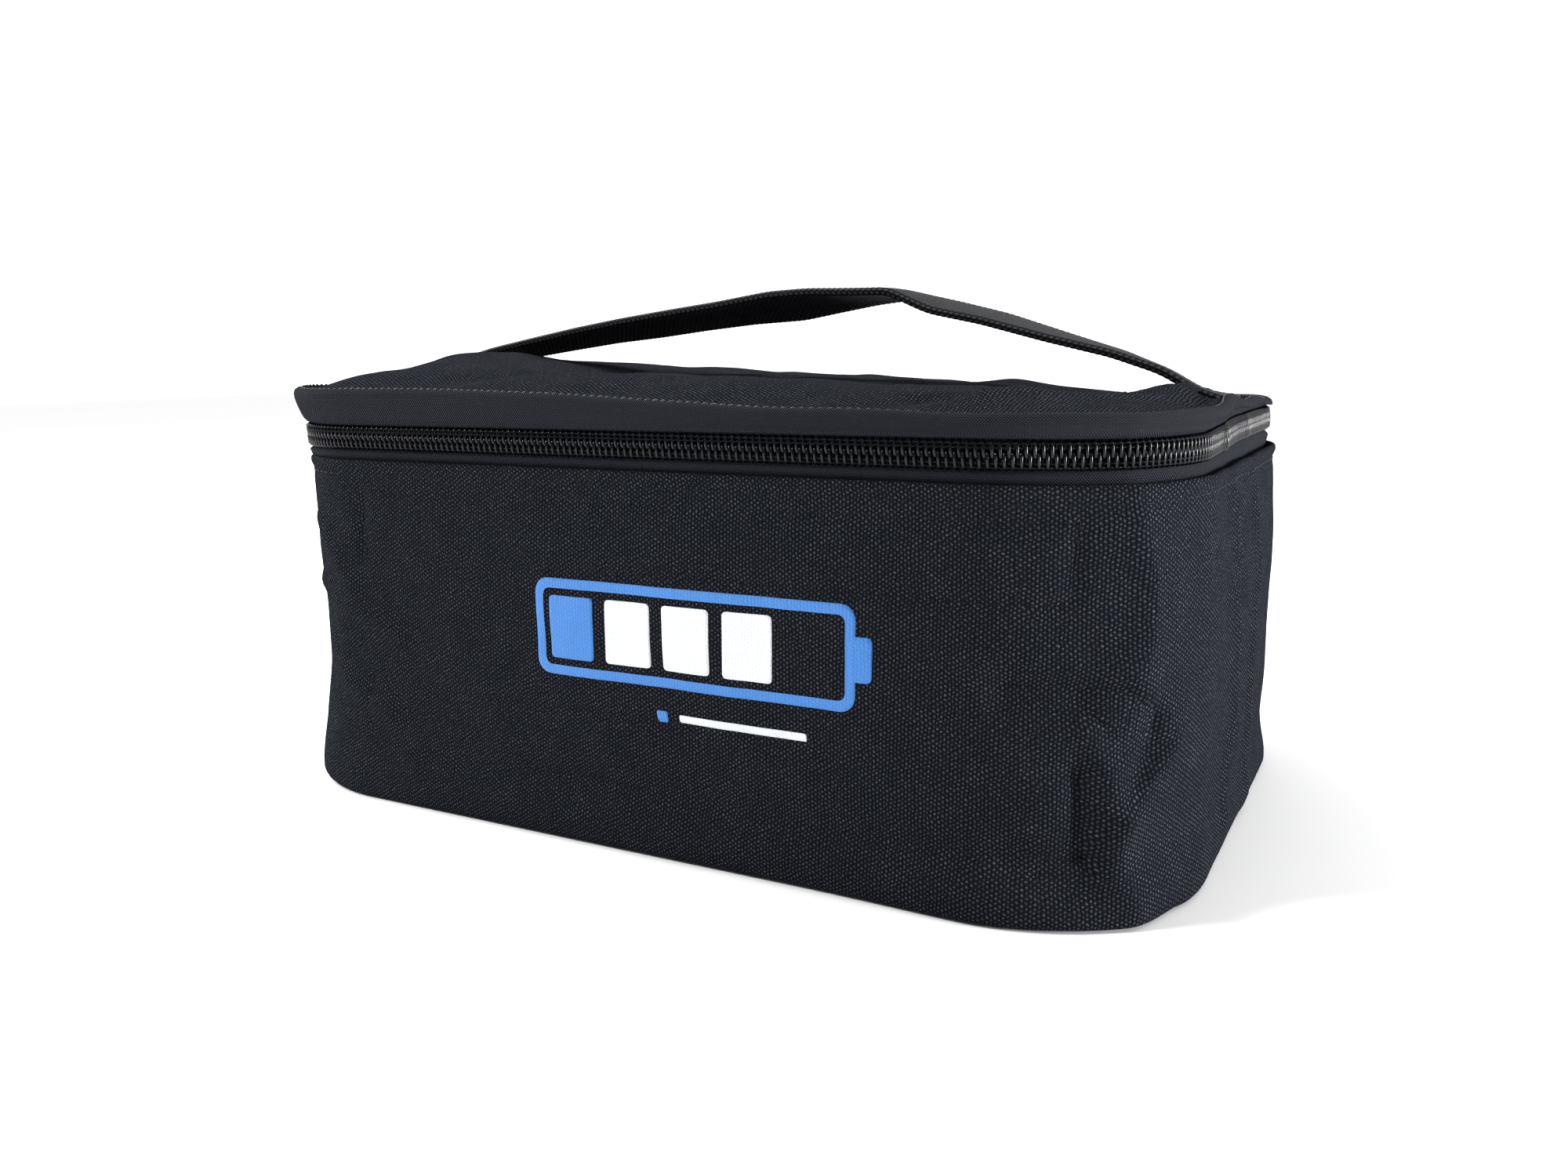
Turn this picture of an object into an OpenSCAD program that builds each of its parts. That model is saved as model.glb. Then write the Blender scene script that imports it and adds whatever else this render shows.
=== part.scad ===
// Soft zipped battery bag with a padded wall, a hinged soft lid and a webbing carry handle.
// X runs along the front, Y towards the back and Z up. The origin is the middle of the base.

/* [Bag body] */
// Length of the base, along the front
body_l = 214; // [190:1:260]
// Depth of the base, front to back
body_w = 145; // [135:1:190]
// Height of the wall, up to its hemmed top edge
wall_h = 78; // [60:1:130]
// Radius of the upright corners
corner_r = 35; // [26:1:40]

/* [Layers] */
// Thickness of the woven outer cloth
cloth_t = 0.8; // [0.6:0.1:1]
// Thickness of the fire-resistant wall padding
padding_t = 2.4; // [1.6:0.1:2.4]
// Thickness of the glass-cloth lining
lining_t = 0.6; // [0.4:0.1:0.6]
// Thickness of the stiffening board in the base
board_t = 2; // [1:0.5:3]

/* [Zip] */
// Height of the chain's middle line above the wall's top edge
chain_rise = 5; // [4.5:0.5:7]
// Radius of the round envelope of each half of the coil
coil_r = 1.05; // [0.8:0.05:1.05]
// Free gap between the two halves of the coil
chain_gap = 1.2; // [1:0.1:1.6]
// Length of the slider
slider_l = 12; // [10:0.5:14]
// Length of the slider's pull tab, below its eye
pull_l = 26; // [18:1:34]

/* [Lid] */
// Height of the lid's edge above the chain's middle line
lid_edge_rise = 9.5; // [9:0.5:12]
// Height of the crown of the lid above its edge
crown_rise = 5.5; // [3:0.5:5.5]

/* [Handle] */
// Width of the handle webbing
strap_w = 20; // [15:1:20]
// Thickness of the handle webbing
strap_t = 1.6; // [1.2:0.1:2]
// Half of the distance between the handle's two free ends
strap_reach = 94; // [80:1:94]
// Height of the top of the handle above the lid's edge
handle_rise = 22.5; // [22:0.5:30]

/* [Printed sign] */
// Length of the battery sign on the front
sign_l = 70; // [50:1:80]
// Height of the battery sign
sign_h = 20; // [14:1:24]
// Distance of the sign's middle from the middle of the front
sign_x = 15; // [0:1:20]
// Height of the sign's middle above the base
sign_z = 46; // [35:1:55]

/* [Hidden] */
$fn = 96;

black_cloth = [0.055, 0.058, 0.066];
black_tape = [0.085, 0.088, 0.095];
black_nylon = [0.06, 0.06, 0.065];
grey_felt = [0.32, 0.33, 0.34];
glass_cloth = [0.62, 0.63, 0.62];
thread_black = [0.10, 0.10, 0.11];
black_metal = [0.09, 0.09, 0.095];
sign_blue = [0.20, 0.50, 0.82];
sign_white = [0.93, 0.94, 0.95];

// Centres of the corner arcs
corner_x = body_l / 2 - corner_r;
corner_y = body_w / 2 - corner_r;

// Depth of each layer's outer face behind the wall's outer face
padding_in = cloth_t;
tape_in = cloth_t + padding_t;
lining_in = tape_in + lining_t;
inside_in = lining_in + lining_t;
binding_t = 0.8;

// Levels of the base, from the floor up
base_cloth_t = 1;
board_z = base_cloth_t;
base_padding_z = board_z + board_t;
base_lining_z = base_padding_z + 2;
inside_z = base_lining_z + lining_t;
base_binding_h = 8;
top_binding_h = 5;

// Zip levels
chain_z = wall_h + chain_rise;
coil_in = tape_in - coil_r - 0.05;
lower_coil_z = chain_z - chain_gap / 2 - coil_r;
upper_coil_z = chain_z + chain_gap / 2 + coil_r;
lower_tape_top = chain_z - chain_gap / 2;
upper_tape_bottom = chain_z + chain_gap / 2;
split_gap = 0.1;
tape_t = 0.6;

// Lid levels
lid_edge_z = chain_z + lid_edge_rise;
lid_cloth_z = lid_edge_z - cloth_t;
lid_lining_z = lid_edge_z - 4.1;
lid_padding_z = lid_lining_z + lining_t;
lid_in = 3.1;
lid_padding_in = 4;
crown_half_l = corner_x + 23;
crown_half_w = corner_y + 25.5;

// Handle arc, through the middle of the webbing's thickness
swing_z = lid_edge_z + 5.5;
strap_top_z = lid_edge_z + handle_rise;
strap_sag = strap_top_z - strap_t / 2 - swing_z;
strap_arc_r = (pow(strap_reach, 2) + pow(strap_sag, 2)) / (2 * strap_sag);
strap_half_angle = asin(strap_reach / strap_arc_r);

// Slider, parked at the rear end of the left side's straight run
slider_y = corner_y - slider_l / 2 - 0.5;
plate_t = 1.3;
plate_h = 9;
plate_in = -0.3;
inner_plate_in = tape_in + tape_t + 0.4;
inner_plate_t = 1.2;
web_t = 0.7;
bar_r = 0.8;
eye_bore_r = 0.88;
eye_r = 2;
bar_x = -(body_l / 2 - plate_in + plate_t + 2.6);
bar_half = 3.6;
eye_half = 2.2;

// Outline of the bag at a depth behind its outer face
module outline(depth) {
    l = body_l - 2 * depth;
    w = body_w - 2 * depth;
    r = corner_r - depth;
    square([l, w - 2 * r], center = true);
    square([l - 2 * r, w], center = true);
    for (sx = [-1, 1], sy = [-1, 1])
        translate([sx * corner_x, sy * corner_y]) circle(r);
}

module plate(depth, z0, z1) {
    translate([0, 0, z0]) linear_extrude(z1 - z0) outline(depth);
}

// Carries a flat profile round the outline. The profile's x is its distance from a corner's
// centre and its y is its height. Sides and corners count from the right-hand side, by quarter
// turns: right, back, left, front, and the corner that follows each of them.
module run(sides, corners) {
    for (s = sides) {
        across = s % 2 == 0 ? corner_x : corner_y;
        along = s % 2 == 0 ? corner_y : corner_x;
        rotate([0, 0, 90 * s]) translate([across, 0, 0]) rotate([90, 0, 0])
            linear_extrude(2 * along, center = true) children();
    }
    for (c = corners) {
        sx = c == 0 || c == 3 ? 1 : -1;
        sy = c < 2 ? 1 : -1;
        translate([sx * corner_x, sy * corner_y, 0]) rotate([0, 0, 90 * c])
            rotate_extrude(angle = 90) children();
    }
}

all_four = [0, 1, 2, 3];
zipped_sides = [0, 2, 3];

// Profile of an upright band between two depths and two levels
module band(depth0, depth1, z0, z1) {
    translate([corner_r - depth1, z0]) square([depth1 - depth0, z1 - z0]);
}

// Profile through points of depth and height
module shaped_band(points) {
    polygon([for (p = points) [corner_r - p[0], p[1]]]);
}

// Base

module base_panel() {
    color(black_cloth) plate(0, 0, base_cloth_t);
}

module base_board() {
    color(grey_felt) plate(padding_in, board_z, base_padding_z);
}

module base_padding() {
    color(grey_felt) plate(padding_in, base_padding_z, base_lining_z);
}

module base_lining() {
    color(glass_cloth) plate(lining_in, base_lining_z, inside_z);
}

module base_seam_binding() {
    color(black_tape) run(all_four, all_four)
        band(inside_in, inside_in + binding_t, inside_z, inside_z + base_binding_h);
}

// Wall

module outer_wall() {
    color(black_cloth) run(zipped_sides, all_four) band(0, cloth_t, base_cloth_t, wall_h);
}

module back_panel() {
    color(black_cloth) run([1], []) band(0, cloth_t, base_cloth_t, chain_z - split_gap);
}

module padding_band() {
    band(padding_in, tape_in, base_lining_z, wall_h);
}

module front_padding() {
    color(grey_felt) run([3], []) padding_band();
}

module back_padding() {
    color(grey_felt) run([1], []) padding_band();
}

module left_padding() {
    color(grey_felt) run([2], []) padding_band();
}

module right_padding() {
    color(grey_felt) run([0], []) padding_band();
}

module corner_padding() {
    color(grey_felt) run([], all_four) padding_band();
}

module wall_lining() {
    color(glass_cloth) run(all_four, all_four)
        band(lining_in, inside_in, inside_z, wall_h - 0.5);
}

module top_edge_binding() {
    color(black_tape) run(all_four, all_four)
        band(inside_in, inside_in + binding_t, wall_h - top_binding_h, wall_h + 0.2);
}

module front_loop_strips() {
    strip_h = 14;
    strip_l = 2 * corner_x - 4;
    strip_t = 1.4;
    y = -(body_w / 2 - inside_in);
    color(black_tape) for (z = [0.28, 0.835] * wall_h)
        translate([-strip_l / 2, y, z - strip_h / 2]) cube([strip_l, strip_t, strip_h]);
}

// Zip: the lower half belongs to the body and the upper half to the lid

module zip_coil(z) {
    run(zipped_sides, all_four) translate([corner_r - coil_in, z]) circle(coil_r, $fn = 24);
}

// The stops close the coil at both of its ends, on the back
module zip_stops(z) {
    stop_l = 2.6;
    stop_h = 2 * coil_r;
    for (sx = [-1, 1])
        translate([sx * (corner_x - stop_l / 2), body_w / 2 - coil_in, z])
            cube([stop_l, 2 * coil_r, stop_h], center = true);
}

module lower_zip_tape() {
    color(black_tape) run(zipped_sides, all_four)
        band(tape_in, tape_in + tape_t, wall_h - 9, lower_tape_top);
}

module lower_zip_coil() {
    color(black_nylon) zip_coil(lower_coil_z);
}

module lower_zip_stops() {
    color(black_metal) zip_stops(lower_coil_z);
}

// The upper tape stands behind the coil, bulges out over it and turns in at the lid's edge
module upper_zip_tape() {
    color(black_tape) run(zipped_sides, all_four) shaped_band([
        [tape_in, upper_tape_bottom], [tape_in, lid_edge_z - 4.6], [0.6, lid_edge_z - 3.6],
        [0.2, lid_edge_z - 2.5], [0.2, lid_edge_z - 0.9], [1, lid_edge_z],
        [lid_in - 0.1, lid_edge_z + 0.2], [lid_in - 0.1, lid_edge_z - 0.4],
        [1.3, lid_edge_z - 0.6], [0.8, lid_edge_z - 1.1], [0.8, lid_edge_z - 2.3],
        [1.1, lid_edge_z - 3.1], [tape_in + tape_t, lid_edge_z - 4.1],
        [tape_in + tape_t, upper_tape_bottom]
    ]);
}

module upper_zip_coil() {
    color(black_nylon) zip_coil(upper_coil_z);
}

module upper_zip_stops() {
    color(black_metal) zip_stops(upper_coil_z);
}

// Lid

// Pillow shape of the lid above its edge, lowered by a layer's thickness
module crown(depth, drop) {
    top = lid_edge_z + crown_rise - drop;
    rx = (pow(crown_half_l, 2) + pow(crown_rise, 2)) / (2 * crown_rise);
    ry = (pow(crown_half_w, 2) + pow(crown_rise, 2)) / (2 * crown_rise);
    intersection() {
        plate(depth, lid_cloth_z, top + 1);
        translate([0, 0, top - rx]) rotate([90, 0, 0])
            cylinder(r = rx, h = body_w, center = true, $fn = 360);
        translate([0, 0, top - ry]) rotate([0, 90, 0])
            cylinder(r = ry, h = body_l, center = true, $fn = 360);
    }
}

module lid_filling() {
    plate(lid_padding_in, lid_padding_z, lid_cloth_z);
    crown(lid_padding_in, cloth_t);
}

module lid_padding() {
    color(grey_felt) lid_filling();
}

module lid_top_panel() {
    color(black_cloth) difference() {
        union() {
            plate(lid_in, lid_cloth_z, lid_edge_z);
            crown(lid_in, 0);
        }
        lid_filling();
    }
}

module lid_lining() {
    color(glass_cloth) plate(lid_padding_in, lid_lining_z, lid_padding_z);
}

module lid_hinge_flap() {
    color(black_cloth) run([1], []) shaped_band([
        [0, chain_z + split_gap], [0, lid_edge_z - 0.5], [0.6, lid_edge_z + 0.2],
        [lid_in - 0.1, lid_edge_z + 0.2], [lid_in - 0.1, lid_edge_z - 0.4],
        [cloth_t, lid_edge_z - 0.6], [cloth_t, chain_z + split_gap]
    ]);
}

module lid_seam_binding() {
    color(thread_black) run(all_four, all_four)
        band(1.6, lid_in - 0.1, lid_edge_z + 0.25, lid_edge_z + 1);
}

// Handle

// Free loop of webbing: an arc whose two ends lie on the axis that it swings about
module handle_strap() {
    color(black_tape) translate([0, 0, swing_z + strap_sag - strap_arc_r]) rotate([90, 0, 0])
        rotate([0, 0, 90 - strap_half_angle]) rotate_extrude(angle = 2 * strap_half_angle)
            translate([strap_arc_r - strap_t / 2, -strap_w / 2]) square([strap_t, strap_w]);
}

// Sewn ends of the webbing, which lie on the lid and rise to meet the free loop
module handle_anchors() {
    x0 = strap_reach + 0.6;
    z0 = lid_edge_z + 0.1;
    color(black_tape) for (side = [0, 180]) rotate([0, 0, side]) rotate([90, 0, 0])
        linear_extrude(strap_w, center = true) polygon([
            [x0, z0], [x0 + 8, z0], [x0 + 8, z0 + strap_t], [x0 + 4, z0 + strap_t + 0.4],
            [x0 + 0.5, swing_z + strap_t / 2], [x0, swing_z + strap_t / 2]
        ]);
}

// Folded cloth that covers the outer end of each sewn strap
module handle_end_bindings() {
    x0 = strap_reach + 5.2;
    z0 = lid_edge_z + 0.1 + strap_t + 0.4;
    color(black_cloth) for (side = [0, 180]) rotate([0, 0, side])
        translate([x0, -strap_w / 2 - 1, z0]) cube([3.4, strap_w + 2, 1.2]);
}

// Slider and pull

module rounded_plate(l, h, r) {
    square([l - 2 * r, h], center = true);
    square([l, h - 2 * r], center = true);
    for (sx = [-1, 1], sy = [-1, 1])
        translate([sx * (l / 2 - r), sy * (h / 2 - r)]) circle(r);
}

// Stands a flat shape on the left side, its x along Y and its y up, from one depth inwards
module on_left_side(depth, t) {
    translate([-(body_l / 2 - depth), slider_y, chain_z]) rotate([90, 0, 90])
        linear_extrude(t) children();
}

module slider_body() {
    plate_x = body_l / 2 - plate_in;
    web_l = slider_l / 2 - 1;
    color(black_metal) {
        on_left_side(plate_in - plate_t, plate_t) rounded_plate(slider_l, plate_h, 2.5);
        on_left_side(inner_plate_in, inner_plate_t) rounded_plate(slider_l, plate_h - 1, 2.5);
        translate([-plate_x, slider_y + 0.5, chain_z - web_t / 2])
            cube([inner_plate_in - plate_in, web_l, web_t]);
        for (side = [-1, 1])
            translate([-plate_x, slider_y - slider_l / 2 + 2.5, chain_z + side * (plate_h / 2 - 0.5) - 0.5])
                cube([side < 0 ? 2 : 0.9, slider_l - 5, 1]);
        translate([bar_x, slider_y, chain_z]) rotate([90, 0, 0])
            cylinder(r = bar_r, h = 2 * bar_half, center = true);
        for (end = [-1, 1])
            translate([bar_x, slider_y + end * (bar_half - 0.5) - 0.5, chain_z - bar_r])
                cube([-bar_x - plate_x - plate_t + 0.2, 1, 2 * bar_r]);
    }
}

module pull_tab() {
    tab_t = 1.4;
    tip_r = 4;
    color(black_metal) translate([bar_x, slider_y, chain_z]) difference() {
        union() {
            rotate([90, 0, 0]) cylinder(r = eye_r, h = 2 * eye_half, center = true);
            rotate([90, 0, 90]) linear_extrude(tab_t, center = true) {
                polygon([[-eye_half, 0], [eye_half, 0], [tip_r, -pull_l + tip_r],
                    [-tip_r, -pull_l + tip_r]]);
                translate([0, -pull_l + tip_r]) circle(tip_r);
            }
        }
        rotate([90, 0, 0]) cylinder(r = eye_bore_r, h = 2 * eye_half + 1, center = true);
        translate([0, 0, -pull_l + tip_r]) rotate([0, 90, 0])
            cylinder(r = 1.8, h = tab_t + 1, center = true);
    }
}

// Printed sign: a battery with charge bars, and a short rule with a square below it

bar_count = 5;
stroke = 2;
cell = (sign_l - 2 * stroke) / bar_count;

// Stands a flat shape on the front wall as a thin layer of ink
module on_front(x, z) {
    ink_t = 0.2;
    translate([x, -body_w / 2, z]) rotate([90, 0, 0]) linear_extrude(ink_t) children();
}

module print_blue() {
    color(sign_blue) {
        on_front(sign_x, sign_z) difference() {
            rounded_plate(sign_l, sign_h, 3);
            rounded_plate(sign_l - 2 * stroke, sign_h - 2 * stroke, 1.5);
        }
        on_front(sign_x + sign_l / 2 + 3, sign_z) rounded_plate(4.4, sign_h * 0.42, 1);
        on_front(sign_x - cell * 2, sign_z) rounded_plate(cell - 3, sign_h - 2 * stroke - 3, 0.8);
        on_front(sign_x - 6, sign_z - sign_h / 2 - 6) square([2.4, 2.4], center = true);
    }
}

module print_white() {
    color(sign_white) {
        for (i = [-1:1])
            on_front(sign_x + i * cell, sign_z)
                rounded_plate(cell - 3, sign_h - 2 * stroke - 3, 0.8);
        on_front(sign_x + 12, sign_z - sign_h / 2 - 6) square([28, 1.6], center = true);
    }
}

base_panel();
base_board();
base_padding();
base_lining();
base_seam_binding();
outer_wall();
back_panel();
front_padding();
back_padding();
left_padding();
right_padding();
corner_padding();
wall_lining();
top_edge_binding();
lower_zip_tape();
lower_zip_coil();
lower_zip_stops();
front_loop_strips();
print_blue();
print_white();
lid_top_panel();
lid_padding();
lid_lining();
lid_hinge_flap();
lid_seam_binding();
upper_zip_tape();
upper_zip_coil();
upper_zip_stops();
handle_anchors();
handle_end_bindings();
handle_strap();
slider_body();
pull_tab();
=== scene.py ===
"""Looks of a soft zipped battery bag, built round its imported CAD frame.

Lengths are in millimetres and a mesh turns to metres as it is made. A place on the wall is given
by s, the distance along the bag's outline from the middle of the front, positive towards +X, and
by z, the height. Depth is measured inwards from the outline.
"""
import math

import bmesh
import bpy
import numpy as np
from mathutils import Matrix, Vector


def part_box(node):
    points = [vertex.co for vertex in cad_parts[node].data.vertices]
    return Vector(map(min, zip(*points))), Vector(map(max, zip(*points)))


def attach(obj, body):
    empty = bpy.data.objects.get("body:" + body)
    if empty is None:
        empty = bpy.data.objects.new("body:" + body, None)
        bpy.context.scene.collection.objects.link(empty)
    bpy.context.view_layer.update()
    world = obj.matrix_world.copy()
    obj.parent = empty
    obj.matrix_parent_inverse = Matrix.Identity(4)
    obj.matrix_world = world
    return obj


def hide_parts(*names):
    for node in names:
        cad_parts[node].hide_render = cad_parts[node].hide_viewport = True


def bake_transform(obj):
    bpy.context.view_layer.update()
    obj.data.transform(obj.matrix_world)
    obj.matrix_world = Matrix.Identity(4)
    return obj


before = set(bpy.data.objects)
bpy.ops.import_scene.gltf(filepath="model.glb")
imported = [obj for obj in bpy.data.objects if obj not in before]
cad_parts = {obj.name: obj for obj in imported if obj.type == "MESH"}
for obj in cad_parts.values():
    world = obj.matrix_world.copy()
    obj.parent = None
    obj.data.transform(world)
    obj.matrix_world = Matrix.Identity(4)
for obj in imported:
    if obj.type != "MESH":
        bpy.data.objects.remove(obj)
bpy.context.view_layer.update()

MM = 0.001


def node_box(name):
    """Lowest and highest corner of a CAD node, in mm."""
    low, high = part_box(name)
    return [c / MM for c in low], [c / MM for c in high]


# Sizes taken from the frame

wall_low, wall_high = node_box("outer_wall")
HALF_L = wall_high[0]
HALF_W = -wall_low[1]
WALL_TOP = wall_high[2]
HEM_SEAM_Z = WALL_TOP - 3
CORNER_X = node_box("back_panel")[1][0]
CORNER_R = HALF_L - CORNER_X
CORNER_Y = HALF_W - CORNER_R
SIDE_START = CORNER_X + math.pi / 2 * CORNER_R
SIDE_END = SIDE_START + 2 * CORNER_Y
REAR_START = SIDE_END + math.pi / 2 * CORNER_R
HALF_LAP = REAR_START + CORNER_X
HINGE_Z = (node_box("back_panel")[1][2] + node_box("lid_hinge_flap")[0][2]) / 2
LINING_BELOW_EDGE = 4.1
LID_EDGE_Z = node_box("lid_lining")[0][2] + LINING_BELOW_EDGE
RING_S = np.linspace(-HALF_LAP, HALF_LAP, int(HALF_LAP) + 1)[:-1]

# Widths of one warp and one weft thread of the outer cloth

WARP_THREADS = 940
WARP = 2 * HALF_LAP / WARP_THREADS
WEFT = 0.44

RIB = 1.35  # from one rib of the handle's webbing to the next


def smooth(x, low, high):
    """0 below low, 1 above high and an S-curve between them."""
    t = np.clip((np.asarray(x, float) - low) / (high - low), 0, 1)
    return t * t * (3 - 2 * t)


def outline(s, depth):
    """Point on the outline and its outward direction, at distance s and a depth."""
    s = np.asarray(s, float)
    run = np.abs(s)
    side = np.where(s < 0, -1.0, 1.0)
    quarter = math.pi / 2
    turn = np.clip((run - CORNER_X) / CORNER_R, 0, quarter)
    turn = turn + np.clip((run - SIDE_END) / CORNER_R, 0, quarter)
    nx = np.sin(turn)
    ny = -np.cos(turn)
    x0 = np.clip(run, 0, CORNER_X) - np.clip(run - REAR_START, 0, None)
    y0 = -CORNER_Y + np.clip(run - SIDE_START, 0, 2 * CORNER_Y)
    r = CORNER_R - depth
    return side * (x0 + r * nx), y0 + r * ny, side * nx, ny


# Folds and ripples

def fold(a, b, points, width, height, power=2.0):
    """Raised fold along a line of points, or a valley where height is negative."""
    near = np.full(np.broadcast(a, b).shape, 1e9)
    for (a0, b0), (a1, b1) in zip(points, points[1:]):
        da = a1 - a0
        db = b1 - b0
        t = np.clip(((a - a0) * da + (b - b0) * db) / (da * da + db * db), 0, 1)
        near = np.minimum(near, np.hypot(a - a0 - t * da, b - b0 - t * db))
    return height * np.exp(-(near / width) ** power)


def mound(a, b, centre, radii, height):
    """Round swelling of the cloth."""
    return height * np.exp(-((a - centre[0]) / radii[0]) ** 2 - ((b - centre[1]) / radii[1]) ** 2)


def ripples(a, b, seed, count, longest, shortest):
    """Soft irregular noise, as a sum of seeded waves. It stays mostly within 1.5 of zero."""
    rng = np.random.default_rng(seed)
    total = 0
    for _ in range(count):
        length = rng.uniform(shortest, longest)
        angle = rng.uniform(0, math.pi)
        phase = rng.uniform(0, 2 * math.pi)
        total = total + np.sin(
            2 * math.pi / length * (a * math.cos(angle) + b * math.sin(angle)) + phase
        )
    return total / math.sqrt(count)


def shaped(a, b, rows):
    """Sum of folds and mounds. A row holds its function and what that takes after a and b."""
    return sum(shape(a, b, *values) for shape, *values in rows)


# Shapes of the wall. A fold has its line of (s, z) points, width, height and sharpness, and a
# mound has its centre, radii and height.

FRONT_FOLDS = (
    (fold, [(-46, 47), (-25, 47.5)], 2.2, -0.25),
    (fold, [(57, 47.5), (66, 47)], 2.2, -0.3),
    (fold, [(-90, 49), (-78, 45), (-60, 40)], 3, 1.4),
    (fold, [(-87, 64), (-79, 56), (-73, 49)], 3, 1.2),
    (fold, [(-86, 35), (-78, 27), (-64, 22)], 3.4, 1.4),
    (fold, [(-60, 9), (-10, 6), (50, 8)], 4, 0.5),
    (fold, [(80, 43), (97, 41), (104, 39)], 3.4, -2.6, 1.5),
    (fold, [(74, 48), (86, 48.5), (97, 47)], 3.2, 0.9),
    (fold, [(93, 36), (96.5, 29), (99, 21)], 2.8, 1.5, 1.4),
    (fold, [(103, 37), (105, 31), (101, 24)], 3.2, -1.8, 1.6),
    (fold, [(91.8, 29.5), (92.2, 21), (93, 12)], 1.9, -1.3, 1.2),
    (fold, [(80, 13), (97, 5), (112, 2)], 3, -0.8),
    (mound, (86, 24), (5, 6), 0.8),
    (mound, (97, 13), (3.5, 5), 0.9),
    (mound, (84, 63), (9, 6), 0.5),
    (fold, [(100.5, 98), (100.5, 72), (103, 61), (102.5, 52), (101, 46), (102, 42)], 8, 4.0, 1.0),
    (fold, [(104, 41), (111, 33), (99.5, 20)], 5.5, 2.3, 1.0),
    (fold, [(99.5, 20), (98, 15), (102, 3)], 7, 2.7, 1.1),
    (mound, (116, 60), (9, 30), -0.6),
)

RIGHT_FOLDS = (
    (
        fold,
        [(142, 80), (146, 66), (147, 60), (140, 53), (144, 43), (149, 28), (143, 20), (143, 8)],
        2.6, 1.5, 1.3,
    ),
    (fold, [(168, 80), (172, 57), (171, 31), (170, 5)], 2.8, 1.3, 1.4),
    (fold, [(156, 78), (158, 50), (156, 20)], 4, -0.8),
)

# Here places are given by -s

LEFT_FOLDS = (
    (fold, [(150, 80), (154, 52), (148, 30), (151, 6)], 3.4, 0.9, 1.5),
    (fold, [(180, 76), (176, 40), (181, 8)], 4, 0.8, 1.5),
)

# Here s is carried on to the right, past the middle of the back

BACK_FOLDS = (
    (fold, [(225, 66), (245, 50), (262, 44)], 4, 0.9),
    (fold, [(292, 30), (330, 26), (352, 31)], 6, 0.7),
    (fold, [(398, 52), (415, 46), (436, 52)], 4, 0.8),
    (fold, [(405, 12), (420, 18), (440, 9)], 4, 0.7),
)

# Stitched boxes where the two loop tapes are sewn on inside, and the deeper hollows at their ends

STRIP_LINES = (
    [(-69, 57.5), (90, 58), (91, 72), (-68.5, 72.3), (-69, 57.5)],
    [(-71, 15), (93, 13), (91.5, 28.5), (-69, 29.5), (-71, 15)],
)
STRIP_ENDS = (
    (fold, [(91.5, 28), (92.5, 14)], 2.2, -0.6, 1.4),
    (fold, [(91, 71), (90, 58)], 1.6, -0.3, 1.4),
    (fold, [(-69, 71), (-69.5, 58)], 1.4, -0.7, 1.3),
)


def off_join(s):
    """1 round the bag, falling to 0 at the middle of the back, where s starts and ends."""
    return 1 - smooth(np.abs(s), HALF_LAP - 40, HALF_LAP)


def wall_relief(s, z):
    """How far the soft wall stands out from its straight shape."""
    s = np.asarray(s, float)
    z = np.asarray(z, float)
    behind = np.where(s < 0, s + 2 * HALF_LAP, s)
    belly = np.sin(math.pi * np.clip(z / WALL_TOP, 0, 1))
    on_front = 1 - smooth(np.abs(s), CORNER_X - 30, CORNER_X + 20)
    on_back = smooth(np.abs(s), REAR_START - 10, REAR_START + 40)
    on_side = smooth(np.abs(s), SIDE_START - 20, SIDE_START + 15)
    on_side = on_side * (1 - smooth(np.abs(s), SIDE_END - 15, SIDE_END + 20))
    left_corner = smooth(-s, 62, 100) * (1 - smooth(-s, 150, 190))
    right_base = smooth(s, 40, 75) * (1 - smooth(s, 95, 135))
    out = 1.3 * belly * on_front + 1.6 * belly * on_back + 1.5 * belly * on_side
    out = out + 1.7 * (1 - smooth(z, 3, 15)) + 0.8 * right_base * (1 - smooth(z, 4, 18))
    out = out + shaped(s, z, FRONT_FOLDS) + shaped(s, z, RIGHT_FOLDS)
    out = out + shaped(-s, z, LEFT_FOLDS) + shaped(behind, z, BACK_FOLDS)
    broad = ripples(s, z, 11, 9, 70, 26) * 0.28
    fine = ripples(s, z, 12, 12, 16, 7) * 0.07
    free = smooth(z, 0, 10) * off_join(s)
    out = (out + (broad + fine) * free) * (1 - 0.75 * smooth(z, WALL_TOP - 8, WALL_TOP + 2))
    return out - 2.0 * left_corner * smooth(z, 8, 30) * (1 - 0.3 * smooth(z, 45, 58))


def sewn_relief(s, z):
    """Wall relief with the cloth drawn in along its seams."""
    out = wall_relief(s, z)
    for line in STRIP_LINES:
        out = out + fold(s, z, line, 0.9, -0.5, 1.4)
    hem = -0.3 * np.exp(-((z - HEM_SEAM_Z) / 0.9) ** 2)
    hem = hem + 0.35 * smooth(z, HEM_SEAM_Z, WALL_TOP - 1)
    return out + shaped(s, z, STRIP_ENDS) + hem


def rim_relief(s, z):
    """How far the chain and the lid's edge stand out. The chain holds them to one line."""
    near = wall_relief(s, np.full(np.shape(s), WALL_TOP + 2.0)) * (1 - smooth(-s, 60, 100))
    lid = smooth(z, HINGE_Z - 1, LID_EDGE_Z)
    left = smooth(-s, 66, 90) * (1 - smooth(-s, 108, 127))
    right = smooth(s, 120, 160) * (1 - smooth(s, 205, 240))
    wavy = 0.25 * ripples(s, z * 0, 21, 7, 60, 20) * off_join(s)
    return near + 0.6 * left + lid * (0.9 * left - 1.6 * right + wavy)


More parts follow.
